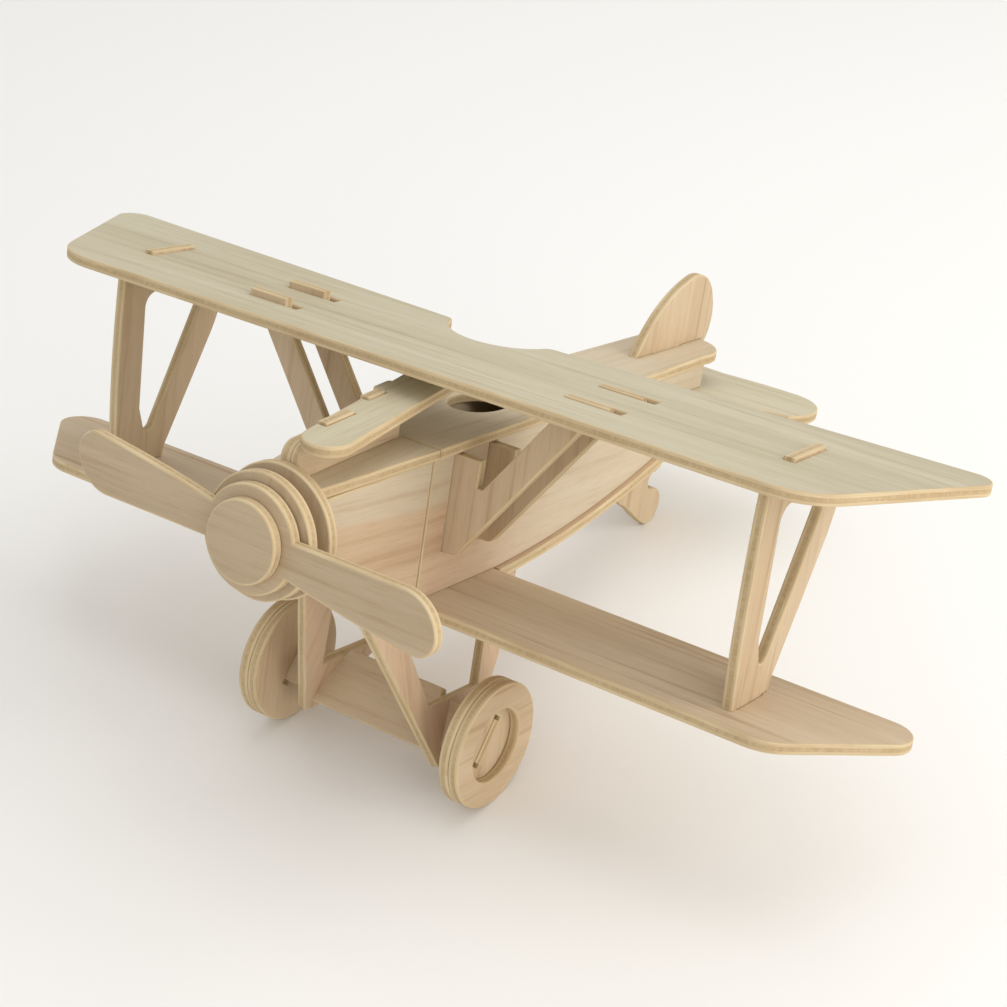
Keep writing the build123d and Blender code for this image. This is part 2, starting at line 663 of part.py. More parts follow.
lean = radians(AXLE_LEAN)
axle_plane = Plane(
    origin=at(0, WHEEL_Y, WHEEL_Z),
    x_dir=BODY.x_dir,
    z_dir=heading(0, -cos(lean), sin(lean)),
)
with BuildPart() as axle_plate:
    with BuildSketch(axle_plane.offset(-PLY / 2)):
        top_z = WHEEL_Z + (AXLE_HALF_HEIGHT + 1.0) * cos(lean)
        low_z = WHEEL_Z - (AXLE_HALF_HEIGHT + 1.0) * cos(lean)
        half_top = leg_face_x(top_z, inner=True) - 0.1
        half_low = leg_face_x(low_z, inner=True) - 0.1
        with BuildLine():
            Polyline(
                (-half_low, -AXLE_HALF_HEIGHT),
                (half_low, -AXLE_HALF_HEIGHT),
                (half_top, AXLE_HALF_HEIGHT),
                (-half_top, AXLE_HALF_HEIGHT),
                close=True,
            )
        make_face()
        Rectangle(2 * AXLE_TAB_X, AXLE_TAB_HEIGHT)
    extrude(amount=PLY)
save(axle_plate, "axle_plate")

for name, hand in HANDS.items():
    leg_plane = Plane(
        origin=at(hand * GEAR_REF[0], 0, GEAR_REF[1]),
        x_dir=heading(0, 1, 0),
        z_dir=heading(cos(SPLAY), 0, hand * sin(SPLAY)),
    )
    stretch = 1 / cos(SPLAY)
    with BuildPart() as gear_leg:
        with BuildSketch(leg_plane):
            with BuildLine():
                outline = [
                    (-16.4, 13.4),
                    (10.9, -37.0),
                    (17.6, -37.0),
                    (38.7, -21.3),
                    (45.6, -13.2),
                    (57.0, 6.0),
                    (57.0, 9.0),
                    (44.9, 9.0),
                    (44.9, 5.0),
                    (32.1, -21.0),
                    (9.9, -21.0),
                    (4.5, -6.2),
                    (-1.6, 9.6),
                    (-1.6, 13.4),
                ]
                Polyline([(y, z * stretch) for y, z in outline], close=True)
            make_face()
        extrude(amount=-hand * PLY)
        add(chin_plate.part, mode=Mode.SUBTRACT)
        add(floor_plate.part, mode=Mode.SUBTRACT)
        add(axle_plate.part, mode=Mode.SUBTRACT)
    kept = gear_leg.part.solids().sort_by(SortBy.VOLUME)[-1]
    kept.label = f"gear_leg_{name}"
    export_step(kept, f"parts/gear_leg_{name}.step")

    with BuildPart() as wheel_ring:
        with BuildSketch(buttock(hand * RING_OUTER_X - (PLY if hand > 0 else 0))):
            with Locations((WHEEL_Y, WHEEL_Z)):
                Circle(WHEEL_RADIUS)
                Circle(RING_HOLE_RADIUS, mode=Mode.SUBTRACT)
        extrude(amount=PLY)
        fillet(wheel_ring.edges().filter_by(GeomType.CIRCLE).sort_by(SortBy.RADIUS)[-2:], radius=0.4)
    save(wheel_ring, f"wheel_ring_{name}")

    hub_outer_x = hand * (RING_OUTER_X - PLY - GLUE_GAP)
    with BuildPart() as wheel_hub:
        with BuildSketch(buttock(hub_outer_x - (PLY if hand > 0 else 0))):
            with Locations((WHEEL_Y, WHEEL_Z)):
                Circle(WHEEL_RADIUS)
        extrude(amount=PLY)
        fillet(wheel_hub.edges().filter_by(GeomType.CIRCLE), radius=0.4)
        with BuildSketch(axle_plane.offset(-PLY / 2 - FIT)):
            Rectangle(4 * RING_OUTER_X, AXLE_TAB_HEIGHT + 2.4)
        extrude(amount=PLY + 2 * FIT, mode=Mode.SUBTRACT)
    save(wheel_hub, f"wheel_hub_{name}")
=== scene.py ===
import json
import math
import random

import bmesh
import bpy
from mathutils import Matrix, Vector
from mathutils.geometry import tessellate_polygon


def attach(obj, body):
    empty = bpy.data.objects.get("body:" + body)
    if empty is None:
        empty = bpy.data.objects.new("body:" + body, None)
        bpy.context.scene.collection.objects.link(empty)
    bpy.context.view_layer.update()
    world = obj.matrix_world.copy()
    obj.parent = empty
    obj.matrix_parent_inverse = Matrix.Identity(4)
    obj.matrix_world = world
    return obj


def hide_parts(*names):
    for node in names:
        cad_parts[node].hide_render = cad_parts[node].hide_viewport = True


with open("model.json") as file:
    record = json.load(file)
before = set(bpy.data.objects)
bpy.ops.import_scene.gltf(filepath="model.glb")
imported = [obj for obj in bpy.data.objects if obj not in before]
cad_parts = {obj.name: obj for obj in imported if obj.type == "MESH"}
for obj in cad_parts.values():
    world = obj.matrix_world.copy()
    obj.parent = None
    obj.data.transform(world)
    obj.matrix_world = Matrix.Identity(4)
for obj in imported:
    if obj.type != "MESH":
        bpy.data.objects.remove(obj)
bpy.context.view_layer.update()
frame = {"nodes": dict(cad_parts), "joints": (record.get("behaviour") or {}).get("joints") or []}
NODES = frame["nodes"]
MM = 0.001

# ---------------------------------------------------------------- the model's own axes
# It stands nose up on wheels and skid. The propeller's hinge gives its fore-and-aft line.
THRUST = Vector(frame["joints"][0]["axis"]).normalized()
AFT = -THRUST
PORT = Vector((1, 0, 0))
UP = PORT.cross(AFT).normalized()
HANDS = (("port", PORT), ("starboard", -PORT))
AIRFRAME, PROPELLER_GROUP = "airframe", "propeller_group"

# ---------------------------------------------------------------- colours and nodes
SHEET_MAP = "sheet"
SHEET_MAP_MM = 100.0        # one unit of the sheet map is 100 mm
MULTIPLY = {"data_type": "RGBA", "blend_type": "MULTIPLY"}


def linear(code):
    """An sRGB hex colour as linear RGBA."""
    values = [int(code[i:i + 2], 16) / 255 for i in (1, 3, 5)]
    return [v / 12.92 if v <= 0.04045 else ((v + 0.055) / 1.055) ** 2.4 for v in values] + [1.0]


def node(tree, kind, settings=None, inputs=None, stops=()):
    """Adds a node with its settings and colour stops, and fills or links its inputs."""
    made = tree.nodes.new(kind)
    for key, value in (settings or {}).items():
        setattr(made, key, value)
    for key, value in (inputs or {}).items():
        if isinstance(value, bpy.types.NodeSocket):
            tree.links.new(value, made.inputs[key])
        else:
            made.inputs[key].default_value = value
    if stops:
        elements = made.color_ramp.elements
        while len(elements) < len(stops):
            elements.new(0.5)
        for element, (position, code) in zip(elements, stops):
            element.position = position
            element.color = linear(code)
    return made


def new_material(name):
    """An empty material with its node tree and shader."""
    material = bpy.data.materials.new(name)
    material.use_nodes = True
    tree = material.node_tree
    return material, tree, tree.nodes["Principled BSDF"]


def weighed(tree, *parts):
    """Adds up (value, weight) parts into one tone or height."""
    total = 0.0
    for value, weight in parts:
        total = node(
            tree, "ShaderNodeMath", {"operation": "MULTIPLY_ADD"}, {0: value, 1: weight, 2: total}
        ).outputs[0]
    return total


# ---------------------------------------------------------------- the figure of the wood
# How long and wide one mark of each figure is in millimetres, its noise detail and roughness, and
# a shift that keeps the figures from lining up
FIGURES = {
    "clouds": (160, 14, 2.0, 0.55, (0, 0, 0)),          # broad drifts of colour
    "bands": (90, 2.6, 3.0, 0.55, (3.1, 1.7, 0)),       # growth bands drawn out by the rotary cut
    "pores": (9, 0.35, 2.0, 0.6, (7.3, 5.2, 0)),        # short pores, drawn coarser so that they show
    "border": (70, 12, 1.0, 0.55, (4.0, 4.0, 0)),       # the slow wander of the heartwood border
    "patches": (22, 3, 2.0, 0.55, (2.0, 9.0, 0)),       # darker stretches of a cut edge
    "long_fibres": (14, 0.6, 3.0, 0.55, (0, 0, 0)),     # face plies seen from the edge
    "end_grain": (0.9, 2.4, 3.0, 0.55, (0, 0, 0)),      # crushed core fibres seen end on
}
DOWEL_FIBRE_MM, DOWEL_ACROSS_MM = 5.0, 0.25
VENEER_RELIEF, FACE_EDGE_RELIEF, CORE_EDGE_RELIEF, DOWEL_RELIEF = 0.12, 0.10, 0.12, 0.08     # mm

# The heartwood border on the fuselage sides: a line that sinks towards the tail and fades out there
BORDER_SLOPE = 0.055
BORDER_HEIGHT = 0.0584
BORDER_BLUR = 0.0015
BORDER_WANDER = 0.004
FADE_START, FADE_END = -0.06, 0.0


def figure(tree, sheet, kind):
    """One figure of the wood: noise drawn out along the grain."""
    along_mm, across_mm, detail, rough, shift = FIGURES[kind]
    scale = (SHEET_MAP_MM / along_mm, SHEET_MAP_MM / across_mm, 1)
    place = node(
        tree, "ShaderNodeMapping", inputs={"Vector": sheet, "Scale": scale, "Location": shift}
    )
    noise = node(
        tree,
        "ShaderNodeTexNoise",
        {"noise_dimensions": "2D"},
        {"Vector": place.outputs[0], "Scale": 1.0, "Detail": detail, "Roughness": rough},
    )
    return noise.outputs["Fac"]


def dress(tree, shader, colour, height, gloss, relief_mm, strength):
    """Links a finish to its shader: colour, relief, and (roughness, specular level)."""
    roughness, specular = gloss
    tree.links.new(colour, shader.inputs["Base Color"])
    shader.inputs["Roughness"].default_value = roughness
    shader.inputs["Specular IOR Level"].default_value = specular
    relief = {"Height": height, "Strength": strength, "Distance": relief_mm * MM}
    bump = node(tree, "ShaderNodeBump", inputs=relief)
    tree.links.new(bump.outputs[0], shader.inputs["Normal"])


def veneer(name, pale, middle, dark, streak, stain=None):
    """Rotary-cut basswood veneer, sanded but unfinished: matt, pale, with soft long streaks of
    warmer wood, short fine pores along the grain and a faint ripple where the sander passed."""
    material, tree, shader = new_material(name)
    sheet = node(tree, "ShaderNodeUVMap", {"uv_map": SHEET_MAP}).outputs[0]
    clouds = figure(tree, sheet, "clouds")
    bands = figure(tree, sheet, "bands")
    pores = figure(tree, sheet, "pores")
    tone = weighed(tree, (clouds, 0.65), (bands, 0.35))
    colour = node(
        tree, "ShaderNodeValToRGB", inputs={0: tone}, stops=[(0.30, pale), (0.52, middle), (0.74, dark)]
    ).outputs[0]
    line = node(
        tree, "ShaderNodeValToRGB", inputs={0: bands}, stops=[(0.58, "#FFFFFF"), (0.72, "#D6C2A8")]
    )
    colour = node(
        tree, "ShaderNodeMix", MULTIPLY, {0: streak, 6: colour, 7: line.outputs[0]}
    ).outputs[2]
    pit = node(
        tree, "ShaderNodeValToRGB", inputs={0: pores}, stops=[(0.30, "#CDBB9F"), (0.48, "#FFFFFF")]
    )
    colour = node(
        tree, "ShaderNodeMix", MULTIPLY, {0: 0.2, 6: colour, 7: pit.outputs[0]}
    ).outputs[2]
    if stain:
        colour = stain(tree, sheet, colour)
    dress(
        tree,
        shader,
        colour,
        weighed(tree, (pores, 1.0), (bands, 0.5)),
        gloss=(0.62, 0.35),
        relief_mm=VENEER_RELIEF,
        strength=0.10,
    )
    return material


def heartwood_tint(tree, sheet, colour):
    """The lower part of each side was peeled nearer the heart: rosier, with a soft slanting border."""
    place = node(tree, "ShaderNodeTexCoord").outputs["Object"]
    dot = {"operation": "DOT_PRODUCT"}
    soft = {"interpolation_type": "SMOOTHSTEP"}
    height = node(tree, "ShaderNodeVectorMath", dot, {0: place, 1: UP + AFT * BORDER_SLOPE})
    wander = figure(tree, sheet, "border")
    lifted = weighed(tree, (height.outputs["Value"], 1.0), (wander, BORDER_WANDER))
    above = node(
        tree,
        "ShaderNodeMapRange",
        soft,
        {
            "Value": lifted,
            "From Min": BORDER_HEIGHT - BORDER_BLUR,
            "From Max": BORDER_HEIGHT + BORDER_BLUR,
        },
    )
    aftness = node(tree, "ShaderNodeVectorMath", dot, {0: place, 1: AFT})
    fade = node(
        tree,
        "ShaderNodeMapRange",
        soft,
        {"Value": aftness.outputs["Value"], "From Min": FADE_START, "From Max": FADE_END},
    )
    sapwood = node(
        tree,
        "ShaderNodeMath",
        {"operation": "MAXIMUM"},
        {0: above.outputs["Result"], 1: fade.outputs["Result"]},
    )
    rosier = node(tree, "ShaderNodeMix", MULTIPLY, {0: 1.0, 6: colour, 7: linear("#FFF1E9")})
    return node(
        tree,
        "ShaderNodeMix",
        {"data_type": "RGBA"},
        {0: sapwood.outputs[0], 6: rosier.outputs[2], 7: colour},
    ).outputs[2]


def cut_edge(name, pale, dark, kind, relief_mm):
    """The press-cut edge of a ply: face plies show long fibres, the core shows crushed end grain."""
    material, tree, shader = new_material(name)
    sheet = node(tree, "ShaderNodeUVMap", {"uv_map": SHEET_MAP}).outputs[0]
    fibre = figure(tree, sheet, kind)
    tone = weighed(tree, (fibre, 0.55), (figure(tree, sheet, "patches"), 0.45))
    colour = node(
        tree, "ShaderNodeValToRGB", inputs={0: tone}, stops=[(0.36, dark), (0.62, pale)]
    ).outputs[0]
    dress(tree, shader, colour, fibre, gloss=(0.72, 0.25), relief_mm=relief_mm, strength=0.22)
    return material


def turned_dowel(name, pale, dark):
    """A birch dowel turned round and left bare: close pale wood with straight fibres along its length."""
    material, tree, shader = new_material(name)
    place = node(tree, "ShaderNodeTexCoord").outputs["Object"]
    steps = {}
    sizes = ((THRUST, DOWEL_FIBRE_MM), (PORT, DOWEL_ACROSS_MM), (UP, DOWEL_ACROSS_MM))
    for letter, (axis, size_mm) in zip("XYZ", sizes):
        counted = {0: place, 1: axis / (size_mm * MM)}
        run = node(tree, "ShaderNodeVectorMath", {"operation": "DOT_PRODUCT"}, counted)
        steps[letter] = run.outputs["Value"]
    drawn_out = node(tree, "ShaderNodeCombineXYZ", inputs=steps)
    fibre = node(
        tree,
        "ShaderNodeTexNoise",
        inputs={"Vector": drawn_out.outputs[0], "Scale": 1.0, "Detail": 2.0},
    ).outputs["Fac"]
    colour = node(
        tree, "ShaderNodeValToRGB", inputs={0: fibre}, stops=[(0.36, dark), (0.60, pale)]
    ).outputs[0]
    dress(tree, shader, colour, fibre, gloss=(0.55, 0.35), relief_mm=DOWEL_RELIEF, strength=0.12)
    return material


# Basswood face veneers, sanded: sheets that differ a little in warmth; the tan, drab, sand and streaked
# ones also carry painted light (warm bounce light, painted shade, painted fill light)
WING_FACE = veneer("basswood_veneer_sanded_wheat", "#CFC7AD", "#C7BEA2", "#BDB193", 0.22)
BODY_FACE = veneer("basswood_veneer_sanded_rose", "#D3BBA0", "#CBB194", "#C0A385", 0.22)
# Tan: basswood with the warmer tint of bounce light on front and side faces painted into it
TAN_FACE_PAINTED_WARMTH = veneer("basswood_veneer_tan_painted_warm_light", "#CFBB9C", "#C7B192", "#BAA17F", 0.32)
# Sand: the decks' veneer, a little warmer than the wings' to paint in the pinkish bounce light near the
# cockpit
DECK_FACE = veneer("basswood_veneer_sand_painted_bounce_warmth", "#D1C3A9", "#CABA9E", "#BFAD8E", 0.22)
TOP_WING_FACE = veneer("basswood_veneer_sanded_greyed", "#C8C0A7", "#BFB69B", "#B4A98C", 0.22)
# Streaked: the bottom wing's veneer with stronger streaks, lightened and pinker to paint in fill light
# under the top wing
LOW_WING_FACE = veneer("basswood_veneer_streaked_painted_fill_light", "#D3C0A4", "#CBB699", "#BCA484", 0.42)
# Drab: a darker, warmer copy for the forward-facing nose discs and propeller, painted shade and warm
# bounce light on faces that get less light
NOSE_FACE_PAINTED_SHADE = veneer("basswood_veneer_drab_painted_shade", "#C6B395", "#BEA98B", "#B19B7B", 0.24)
SIDE_FACE = veneer(
    "basswood_veneer_sanded_two_tone", "#CFC0A9", "#C8B99F", "#BFAC91", 0.16, stain=heartwood_tint
)
# The press-cut edges: pale yellow face plies either side of a browner core
EDGE_PLY = cut_edge(
    "basswood_ply_edge_press_cut", "#D3C09B", "#C3AC86", "long_fibres", FACE_EDGE_RELIEF
)
CORE_PLY = cut_edge(
    "basswood_core_end_grain_press_cut", "#C3AD88", "#B39B75", "end_grain", CORE_EDGE_RELIEF
)
BIRCH_DOWEL = turned_dowel("birch_dowel_turned_bare", "#DCCBA9", "#CDB88F")
FACE_SLOT, EDGE_SLOT, CORE_SLOT = 0, 1, 2

# ---------------------------------------------------------------- sheets cut from three-ply
PLY_MM = 3.0
FACE_PLY_MM = 0.95          # thickness of each outer ply
GLUE_LINE_MM = 0.05         # depth of the fine line between two plies
EDGE_ROUND_MM = 0.42        # the sanded rounding of most edges
NOSE_ROUND_MM = 0.5         # discs and wheels are rubbed rounder
BLADE_ROUND_MM = 0.55
LEG_ROUND_MM = 0.28         # kept small, as the axle's slots run close to the legs' ends
WHEEL_GROW_MM = 0.4         # the CAD rims are rounded, so their outer face is smaller by this much
ROUND_STEPS = 3
SHARP_DEGREES = 38

WELD = 0.002 * MM           # points nearer than this are one point
SAME_POINT = 0.004 * MM
SAME_LEVEL = 0.1 * MM
FLAT_ON = 0.9997            # cosine between a face and the direction it is taken for
STRAIGHT_ON = 0.999999      # cosine at a point that isn't a corner
MITRE_FLOOR = 0.35          # keeps a sharp corner from running far out
PARALLEL = 0.01


def edge_profile(rounding):
    """(inset, depth, slot) down one cut edge, in millimetres; slot is the strip below each point."""
    points = []
    for step in range(ROUND_STEPS + 1):
        angle = math.radians(90 * step / ROUND_STEPS)
        points.append((rounding * (1 - math.sin(angle)), rounding * (1 - math.cos(angle)), EDGE_SLOT))
    upper = FACE_PLY_MM
    lower = PLY_MM - FACE_PLY_MM
    points.append((0, upper - GLUE_LINE_MM, EDGE_SLOT))
    points.append((GLUE_LINE_MM, upper, CORE_SLOT))
    points.append((0, upper + GLUE_LINE_MM, CORE_SLOT))
    points.append((0, lower - GLUE_LINE_MM, CORE_SLOT))
    points.append((GLUE_LINE_MM, lower, EDGE_SLOT))
    points.append((0, lower + GLUE_LINE_MM, EDGE_SLOT))
    for step in range(ROUND_STEPS + 1):
        angle = math.radians(90 * step / ROUND_STEPS)
        inset = rounding * (1 - math.cos(angle))
        points.append((inset, PLY_MM - rounding * (1 - math.sin(angle)), EDGE_SLOT))
    return points


def face_loops(cad, normal):
    """Boundary loops of the outermost flat face of a CAD node along a direction, material on the left."""
    source = bmesh.new()
    source.from_mesh(cad.data)
    bmesh.ops.remove_doubles(source, verts=source.verts, dist=WELD)
    source.normal_update()
    facing = [f for f in source.faces if f.normal.dot(normal) > FLAT_ON and f.calc_area() > 0]
    height = max(f.calc_center_median().dot(normal) for f in facing)
    facing = [f for f in facing if f.calc_center_median().dot(normal) > height - SAME_LEVEL]
    steps = {(l.vert.index, l.link_loop_next.vert.index) for f in facing for l in f.loops}
    rim = {a: b for a, b in steps if (b, a) not in steps}
    places = {v.index: v.co.copy() for v in source.verts}
    source.free()
    loops = []
    while rim:
        start, here = rim.popitem()
        chain = [start]
        while here != start:
            chain.append(here)
            here = rim.pop(here)
        loops.append([places[i] for i in chain])
    return [tidy_loop(loop) for loop in loops]


def tidy_loop(loop):
    """Drops points that are doubled or lie on a straight run."""
    kept = []
    for i, point in enumerate(loop):
        before = point - loop[i - 1]
        after = loop[(i + 1) % len(loop)] - point
        if before.length < SAME_POINT:
            continue
        if after.length > 0 and before.normalized().dot(after.normalized()) > STRAIGHT_ON:
            continue
        kept.append(point)
    return kept


def left_of(start, end):
    """Unit direction to the left of a flat edge."""
    step = (end - start).normalized()
    return Vector((-step.y, step.x))


def inset_loop(flat, distance):
    """Moves a flat loop to its left by distance, keeping its corners sharp."""
    count = len(flat)
    lefts = [left_of(here, flat[(i + 1) % count]) for i, here in enumerate(flat)]
    moved = []
    for i, here in enumerate(flat):
        spread = max(MITRE_FLOOR, 1 + lefts[i - 1].dot(lefts[i]))
        moved.append(here + (lefts[i - 1] + lefts[i]) * (distance / spread))
    # an edge shorter than the inset turns round on itself: its two ends meet at one corner
    for i in range(count):
        j = (i + 1) % count
        if (moved[j] - moved[i]).dot(flat[j] - flat[i]) < 0:
            before, after = lefts[i - 1], lefts[j]
            turn = before.x * after.y - before.y * after.x
            if abs(turn) > PARALLEL:
                a = (flat[i] + before * distance).dot(before)
                b = (flat[j] + after * distance).dot(after)
                meet = Vector(((a * after.y - b * before.y) / turn, (b * before.x - a * after.x) / turn))
            else:
                meet = (moved[i] + moved[j]) / 2
            moved[i] = meet
            moved[j] = meet.copy()
    return moved


def loop_area(flat):
    """Area inside a flat loop, negative round a hole."""
    return sum(a.x * b.y - b.x * a.y for a, b in zip(flat, flat[1:] + flat[:1])) / 2


def to_map(u, v, shift):
    """Metres on the sheet to the sheet map, moved to a stretch of veneer of its own."""
    return (u / (SHEET_MAP_MM * MM) + shift[0], v / (SHEET_MAP_MM * MM) + shift[1])


def own_veneer(name):
    """Each piece was cut from a different place in the sheet."""
    draw = random.Random(name)
    return (draw.uniform(0, 40), draw.uniform(0, 40))


class Builder:
    """Collects the faces of one piece, with their material slots and sheet map."""

    def __init__(self):
        self.verts = []
        self.faces = []
        self.slots = []
        self.maps = []

    def add(self, corners, slot, uv):
        self.faces.append(corners)
        self.slots.append(slot)
        self.maps.append(uv)

    def place(self, point):
        self.verts.append(point)
        return len(self.verts) - 1

    def finish(self, name, materials):
        """Makes the object: flats stay flat, roundings shade smoothly."""
        mesh = bpy.data.meshes.new(name)
        mesh.from_pydata([tuple(v) for v in self.verts], [], self.faces)
        sheet = mesh.uv_layers.new(name=SHEET_MAP)
        for polygon, slot, uv in zip(mesh.polygons, self.slots, self.maps):
            polygon.material_index = slot
            for corner, value in zip(polygon.loop_indices, uv):
                sheet.data[corner].uv = value
        for material in materials:
            mesh.materials.append(material)
        mesh.validate()
        mesh.shade_smooth()
        mesh.set_sharp_from_angle(angle=math.radians(SHARP_DEGREES))
        piece = bpy.data.objects.new(name, mesh)
        bpy.context.scene.collection.objects.link(piece)
        weighted = piece.modifiers.new("even_faces", "WEIGHTED_NORMAL")
        weighted.weight = 100
        weighted.keep_sharp = True
        return piece


def add_sheet(builder, loops, normal, grain, shift, rounding, grow):
    """One flat sheet below its outer face: caps, rounded edges and the three plies."""
    along = (grain - normal * grain.dot(normal)).normalized()
    across = normal.cross(along)
    height = loops[0][0].dot(normal)
    flat = [[Vector((p.dot(along), p.dot(across))) for p in loop] for loop in loops]
    flat.sort(key=lambda loop: -abs(loop_area(loop)))
    if grow:
        flat[0] = inset_loop(flat[0], -grow * MM)
    profile = edge_profile(rounding)
    rings = []
    for loop in flat:
        ring_set = []
        for inset, depth, _ in profile:
            moved = inset_loop(loop, inset * MM)
            level = height - depth * MM
            ring = [builder.place(along * q.x + across * q.y + normal * level) for q in moved]
            ring_set.append((ring, moved))
        rings.append((ring_set, loop))
    for ring_set, loop in rings:
        count = len(loop)
        run = [0.0]
        for i in range(count):
            run.append(run[-1] + (loop[(i + 1) % count] - loop[i]).length)
        for k in range(len(profile) - 1):
            upper, lower = ring_set[k][0], ring_set[k + 1][0]
            deep_a, deep_b = profile[k][1] * MM, profile[k + 1][1] * MM
            for i in range(count):
                j = (i + 1) % count
                corners = (upper[i], lower[i], lower[j], upper[j])
                uv = ((run[i], deep_a), (run[i], deep_b), (run[i + 1], deep_b), (run[i + 1], deep_a))
                builder.add(corners, profile[k][2], [to_map(u, v, shift) for u, v in uv])
    for k, flip in ((0, False), (len(profile) - 1, True)):
        outline = [ring_set[k] for ring_set, _ in rings]
        indices = [i for ring, _ in outline for i in ring]
        points = [q for _, moved in outline for q in moved]
        for triangle in tessellate_polygon([[Vector((q.x, q.y, 0)) for q in m] for _, m in outline]):
            a, b, c = (points[t] for t in triangle)
            turn = (b - a).cross(c - a)
            ordered = list(triangle) if (turn > 0) != flip else list(triangle)[::-1]
            uv = [to_map(points[t].x, points[t].y, shift) for t in ordered]
            builder.add([indices[t] for t in ordered], FACE_SLOT, uv)


def settle(builder, name, face, body):
    """Finishes a plywood piece, which stands for its CAD node and moves with its body."""
    piece = builder.finish(name + "_ply", [face, EDGE_PLY, CORE_PLY])
    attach(piece, body)
    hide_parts(name)


def plywood(name, normals, grain, face, rounding=EDGE_ROUND_MM, body=AIRFRAME, grow=0.0):
    """Replaces a flat CAD plate, or one with several flat panels, by its press-cut three-ply piece."""
    builder = Builder()
    for normal in normals:
        outline = face_loops(NODES[name], normal)
        add_sheet(builder, outline, normal, grain, own_veneer(name), rounding, grow)
    settle(builder, name, face, body)


def flat_normal(name, guess, spread=0.9):
    """The exact direction of the largest flat face of a CAD node that looks roughly one way."""
    sums = {}
    guess = guess.normalized()
    for polygon in NODES[name].data.polygons:
        if polygon.normal.dot(guess) > spread:
            key = tuple(round(part, 2) for part in polygon.normal)
            sums[key] = sums.get(key, Vector((0, 0, 0))) + polygon.normal * polygon.area
    return max(sums.values(), key=lambda total: total.length).normalized()


# ---------------------------------------------------------------- wings and struts
plywood("top_wing", [UP], PORT, TOP_WING_FACE)
plywood("bottom_wing", [UP], PORT, LOW_WING_FACE)
for hand in ("port", "starboard"):
    plywood(f"interplane_strut_{hand}", [PORT], UP, TAN_FACE_PAINTED_WARMTH)
for place in ("front", "rear"):
    plywood(f"cabane_frame_{place}", [THRUST], UP, TAN_FACE_PAINTED_WARMTH)

# ---------------------------------------------------------------- fuselage
# Each side has two flat panels: the fore one flares a little, the aft one closes towards the tail
FORE_LEAN, AFT_LEAN = 0.019, -0.085
PANEL_SPREAD = 0.9985
for hand, outward in HANDS:
    side = f"fuselage_side_{hand}"
    panels = [flat_normal(side, outward + AFT * lean, PANEL_SPREAD) for lean in (FORE_LEAN, AFT_LEAN)]
    plywood(side, panels, AFT, SIDE_FACE)
plywood("main_deck", [flat_normal("main_deck", UP)], AFT, DECK_FACE)
plywood("nose_deck", [flat_normal("nose_deck", UP)], AFT, DECK_FACE)
plywood("chin_plate", [flat_normal("chin_plate", UP)], AFT, BODY_FACE)

STATION_DEPTH = 3.6 * MM    # the two skins of the bent strip lie nearer than this
STATION_SHIFT = 2 * MM      # and the end points of one station are no further apart than this
RUN, DEPTH, ACROSS = 1, 2, 3            # what is kept of each point of the strip, after its index


def bent_floor():
    """The floor plate follows the sides' sweep: one strip of three-ply bent along its length."""
    rim = face_loops(NODES["floor_plate"], flat_normal("floor_plate", PORT, spread=0.99))[0]
    rim.sort(key=lambda p: p.dot(AFT))
    upper = [p for p in rim if any(lies_over(p, q) for q in rim)]
    lower = [p for p in rim if p not in upper]
    profile = edge_profile(EDGE_ROUND_MM)
    shift = own_veneer("floor_plate")
    builder = Builder()

    def patch(corners, slot, measures, flip):
        """One four-cornered face, mapped by two measures of its corners."""
        ordered = corners[::-1] if flip else corners
        uv = [to_map(corner[measures[0]], corner[measures[1]], shift) for corner in ordered]
        builder.add([corner[0] for corner in ordered], slot, uv)

    stations = []
    run = 0.0
    for i, (top, bottom) in enumerate(zip(upper, lower)):
        if i:
            run += (top - upper[i - 1]).length
        down = (bottom - top).normalized()
        rows = []
        for hand in (1, -1):
            row = []
            for inset, depth, _ in profile:
                point = top + down * (depth * MM)
                point.x = hand * (top.x - inset * MM)
                row.append((builder.place(point), run, depth * MM, point.x))
            rows.append(row)
        stations.append(rows)
    last = len(profile) - 1
    for (port_a, star_a), (port_b, star_b) in zip(stations, stations[1:]):
        for k in range(last):
            for a, b, flip in ((port_a, port_b, False), (star_a, star_b, True)):
                patch([a[k], a[k + 1], b[k + 1], b[k]], profile[k][2], (RUN, DEPTH), flip)
        for k, flip in ((0, False), (last, True)):
            patch([star_a[k], port_a[k], port_b[k], star_b[k]], FACE_SLOT, (RUN, ACROSS), flip)
    for (port, star), flip in ((stations[0], False), (stations[-1], True)):
        for k in range(last):
            corners = [port[k], star[k], star[k + 1], port[k + 1]]
            patch(corners, profile[k][2], (ACROSS, DEPTH), flip)
    settle(builder, "floor_plate", BODY_FACE, AIRFRAME)


def lies_over(point, other):
    """Whether a point of the strip's side is the upper one of its station."""
    gap = point - other
    return 0 < gap.dot(UP) < STATION_DEPTH and abs(gap.dot(AFT)) < STATION_SHIFT


bent_floor()

# ---------------------------------------------------------------- nose, propeller and engine plates
for name in ("nose_former", "spacer_disc", "backing_disc"):
    plywood(name, [THRUST], UP, NOSE_FACE_PAINTED_SHADE, rounding=NOSE_ROUND_MM)
for name in ("propeller", "spinner_cap"):
    plywood(name, [THRUST], PORT, NOSE_FACE_PAINTED_SHADE, rounding=BLADE_ROUND_MM, body=PROPELLER_GROUP)
# The shaft's CAD shape is right as it is, so it only gets its wood
for holder in NODES["propeller_shaft"].material_slots:
    holder.material = BIRCH_DOWEL
for hand in ("port", "starboard"):
    plywood(f"engine_plate_{hand}", [PORT], AFT, TAN_FACE_PAINTED_WARMTH)
plywood("cowl_plate", [flat_normal("cowl_plate", UP)], AFT, WING_FACE)

# ---------------------------------------------------------------- tail
plywood("tailplane", [UP], PORT, WING_FACE)
plywood("fin", [PORT], UP, TAN_FACE_PAINTED_WARMTH)
plywood("tail_skid", [PORT], UP, TAN_FACE_PAINTED_WARMTH)

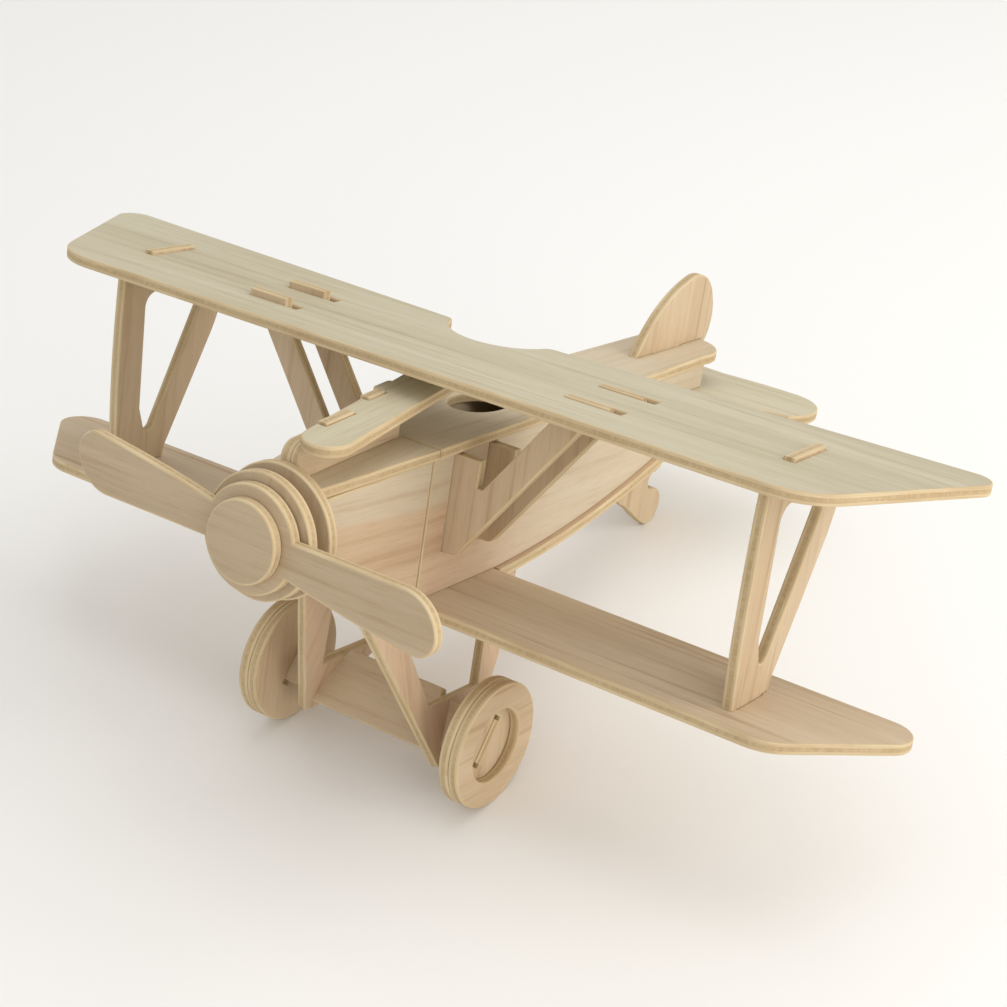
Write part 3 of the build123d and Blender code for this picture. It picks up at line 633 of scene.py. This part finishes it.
# ---------------------------------------------------------------- landing gear
LEG_SPLAY = 0.3             # rough rise over run of the legs' outer faces
AXLE_TILT = 0.6             # and of the axle plate's front face
for hand, outward in HANDS:
    splayed = flat_normal(f"gear_leg_{hand}", outward + UP * LEG_SPLAY)
    plywood(f"gear_leg_{hand}", [splayed], UP, BODY_FACE, rounding=LEG_ROUND_MM)
    for part, grain in (("wheel_ring", AFT), ("wheel_hub", UP)):
        plywood(f"{part}_{hand}", [outward], grain, TAN_FACE_PAINTED_WARMTH, NOSE_ROUND_MM, grow=WHEEL_GROW_MM)
plywood("axle_plate", [flat_normal("axle_plate", THRUST + UP * AXLE_TILT)], PORT, TAN_FACE_PAINTED_WARMTH)

# ---------------------------------------------------------------- floor and light
FLOOR_REACH = 20.0
FLOOR_COLOUR = "#F4F3F0"
SKY_STRENGTH = 0.76
AIM = (0, 0, 0.06)          # the middle of the model
LOW_AIM = (0, 0, 0.05)
# name, place and aim in metres, size in metres, power in watts, colour
SOFTBOXES = (
    ("overhead", (0.15, 0.25, 1.1), AIM, 0.9, 2.9, "#FFFFFF"),
    ("port_side", (1.0, 0.35, 0.55), AIM, 0.7, 4.2, "#FFF8F0"),
    ("low_port", (0.95, -0.35, 0.16), LOW_AIM, 0.6, 2.7, "#FFF4E8"),
)

corners = [(x * FLOOR_REACH, y * FLOOR_REACH, 0) for x, y in ((-1, -1), (1, -1), (1, 1), (-1, 1))]
floor_mesh = bpy.data.meshes.new("studio_floor")
floor_mesh.from_pydata(corners, [], [(0, 1, 2, 3)])
floor = bpy.data.objects.new("studio_floor", floor_mesh)
bpy.context.scene.collection.objects.link(floor)
paper, paper_tree, paper_shader = new_material("seamless_paper_matt")
paper_shader.inputs["Base Color"].default_value = linear(FLOOR_COLOUR)
paper_shader.inputs["Roughness"].default_value = 0.9
floor_mesh.materials.append(paper)

world = bpy.data.worlds.new("studio")
bpy.context.scene.world = world
world.use_nodes = True
sky = world.node_tree.nodes["Background"]
sky.inputs["Color"].default_value = linear("#FFFFFF")
sky.inputs["Strength"].default_value = SKY_STRENGTH

for name, place, target, size, power, colour in SOFTBOXES:
    light = bpy.data.lights.new(name, "AREA")
    light.shape = "SQUARE"
    light.size = size
    light.energy = power
    light.color = linear(colour)[:3]
    lamp = bpy.data.objects.new(name, light)
    bpy.context.scene.collection.objects.link(lamp)
    lamp.location = place
    lamp.rotation_euler = (Vector(target) - Vector(place)).to_track_quat("-Z", "Y").to_euler()

# ---------------------------------------------------------------- camera
# Off the port bow and well above the wings, looking down on the nose, held a degree off level
LENS_MM, FILM_MM = 74.54, 36
CAMERA_PLACE = Vector((284.967, -398.305, 367.89)) * MM
view_line = Vector((-0.488702, 0.679146, -0.547658)).normalized()
view_up = Vector((-0.297076, 0.460676, 0.836375))
view_right = view_line.cross(view_up).normalized()
view_up = view_right.cross(view_line).normalized()

camera_data = bpy.data.cameras.new("camera")
camera_data.sensor_width = FILM_MM
camera_data.lens = LENS_MM
camera = bpy.data.objects.new("camera", camera_data)
bpy.context.scene.collection.objects.link(camera)
turned = Matrix((view_right, view_up, -view_line)).transposed().to_4x4()
camera.matrix_world = Matrix.Translation(CAMERA_PLACE) @ turned
bpy.context.scene.camera = camera

bpy.context.scene.view_settings.view_transform = "Standard"
